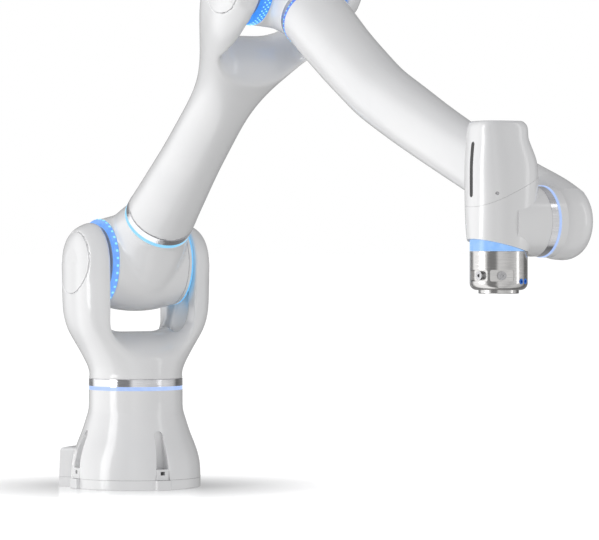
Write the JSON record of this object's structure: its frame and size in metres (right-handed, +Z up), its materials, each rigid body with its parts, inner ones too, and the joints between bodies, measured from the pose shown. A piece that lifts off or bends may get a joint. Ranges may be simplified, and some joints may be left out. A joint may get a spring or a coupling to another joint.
{
  "type": "collaborative robot arm",
  "caption": "White collaborative robot arm on a bolted pedestal, with forked shoulder and elbow joints, blue light rings, brushed trim rings and a round tool flange.",
  "frame": {"origin": "centre of the base's underside, in the mounting plane", "axes": "+Z up; the connector box points along -X; at rest the arm's plane is turned 43.1 degrees from +X towards -Y"},
  "size_m": [1.2525, 1.1912, 1.0076],
  "materials": {
    "white_shell": "gloss white lacquered shell",
    "light_ring": "translucent blue light guide",
    "brushed_trim": "brushed",
    "flange_metal": "fine turned",
    "screw_steel": "turned",
    "bearing_steel": "ground",
    "drive_housing": "anodised",
    "black_gloss": "gloss black",
    "blue_socket": "matte blue",
    "dark_plastic": "matte"
  },
  "bodies": {
    "base": {"base_plate": "white_shell", "pedestal_shell": "white_shell", "foot_covers": "white_shell", "connector_box": "white_shell", "connector_panel": "dark_plastic", "connector_sockets": "dark_plastic", "base_light_ring": "light_ring", "j1_bearing": "bearing_steel", "j1_drive": "drive_housing"},
    "yoke": {"j1_trim_ring": "brushed_trim", "j1_hub": "bearing_steel", "yoke_shell": "white_shell", "yoke_cap_left": "white_shell", "yoke_cap_right": "white_shell", "j2_drive": "drive_housing", "j2_bearing": "bearing_steel"},
    "shoulder": {"j2_hubs": "bearing_steel", "shoulder_light_left": "light_ring", "shoulder_light_right": "light_ring", "shoulder_shell": "white_shell", "j3_light_ring": "light_ring", "j3_bearing": "bearing_steel", "j3_drive": "drive_housing"},
    "upper_arm": {"j3_trim_ring": "brushed_trim", "j3_hub": "bearing_steel", "upper_arm_shell": "white_shell", "elbow_cap_left": "white_shell", "elbow_cap_right": "white_shell", "j4_drive": "drive_housing", "j4_bearing": "bearing_steel"},
    "elbow": {"j4_hubs": "bearing_steel", "elbow_light_left": "light_ring", "elbow_light_right": "light_ring", "elbow_shell": "white_shell", "j5_bearing": "bearing_steel", "j5_drive": "drive_housing"},
    "forearm": {"j5_trim_ring": "brushed_trim", "j5_light_ring": "light_ring", "j5_hub": "bearing_steel", "forearm_shell": "white_shell", "forearm_cap": "white_shell", "j6_light_ring": "light_ring", "j6_bearing": "bearing_steel", "j6_drive": "drive_housing"},
    "wrist": {"j6_trim_ring": "brushed_trim", "j6_hub": "bearing_steel", "wrist_shell": "white_shell", "wrist_cover": "white_shell", "control_strip": "black_gloss", "cover_screw": "screw_steel", "j7_light_ring": "light_ring", "j7_bearing": "bearing_steel", "j7_drive": "drive_housing"},
    "flange": {"flange_body": "flange_metal", "tool_hub": "flange_metal", "pocket_screws": "screw_steel", "tool_sockets": "blue_socket"}
  },
  "joints": [
    {"name": "base_turn", "type": "hinge", "parent": "base", "child": "yoke", "pos_m": [0, 0, 0.1932], "axis": [0, 0, 1], "range_deg": [-180, 180]},
    {"name": "shoulder_tilt", "type": "hinge", "parent": "yoke", "child": "shoulder", "pos_m": [0, 0, 0.4287], "axis": [0.6833, 0.7302, 0], "range_deg": [-160, 60]},
    {"name": "upper_arm_roll", "type": "hinge", "parent": "shoulder", "child": "upper_arm", "pos_m": [0.07258, -0.06792, 0.51123], "axis": [0.5618, -0.5257, 0.6388], "range_deg": [-180, 180]},
    {"name": "elbow_bend", "type": "hinge", "parent": "upper_arm", "child": "elbow", "pos_m": [0.43707, -0.409, 0.92566], "axis": [0.6833, 0.7302, 0], "range_deg": [-160, 60]},
    {"name": "forearm_roll", "type": "hinge", "parent": "elbow", "child": "forearm", "pos_m": [0.5063, -0.47379, 0.86456], "axis": [0.6138, -0.5743, -0.5417], "range_deg": [-180, 180]},
    {"name": "wrist_bend", "type": "hinge", "parent": "forearm", "child": "wrist", "pos_m": [1.03299, -0.94803, 0.50057], "axis": [0.6833, 0.7302, 0], "range_deg": [-170, 170]},
    {"name": "flange_turn", "type": "hinge", "parent": "wrist", "child": "flange", "pos_m": [0.98072, -1.00388, 0.45427], "axis": [0, 0, -1], "range_deg": [-180, 180]}
  ]
}
